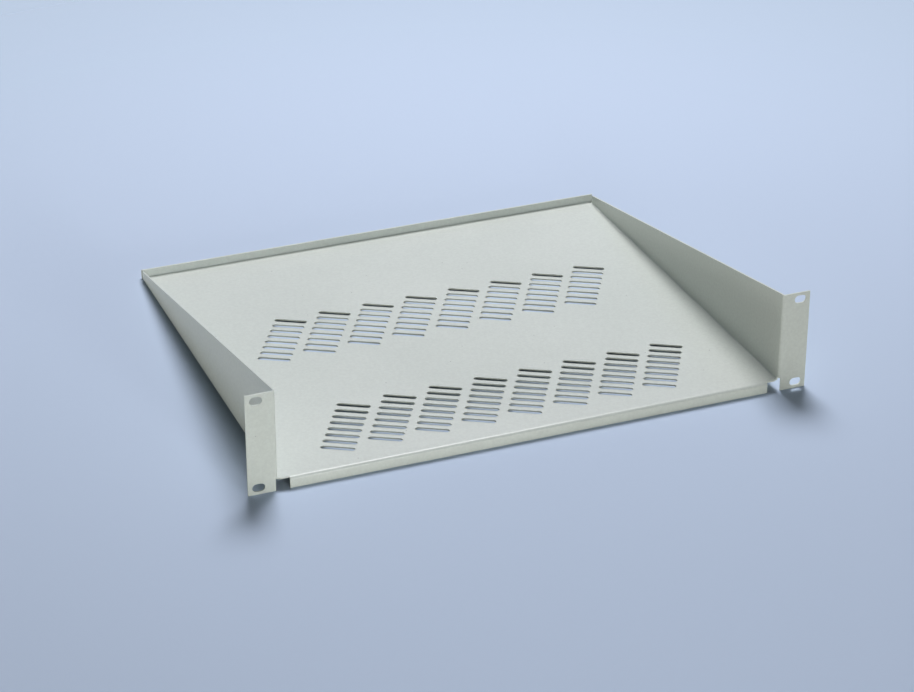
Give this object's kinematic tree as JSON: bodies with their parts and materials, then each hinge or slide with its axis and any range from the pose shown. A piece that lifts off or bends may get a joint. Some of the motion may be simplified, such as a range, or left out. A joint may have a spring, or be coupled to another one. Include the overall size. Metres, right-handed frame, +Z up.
{
  "type": "cantilever rack shelf",
  "caption": "Pale grey folded-steel shelf for a 19-inch rack, two units high, with tapering side walls and slanted ventilation slots.",
  "frame": {"origin": "centre of the four rack slots, on the rear face of the ears, where they seat on the rack's rails", "axes": "+X across the rack to the right as seen from the front, +Y back into the rack, +Z up"},
  "size_m": [0.4826, 0.38, 0.0882],
  "materials": {
    "grey_powder_coat": "satin"
  },
  "bodies": {
    "root": {"folded_shelf": "grey_powder_coat"}
  },
  "joints": []
}
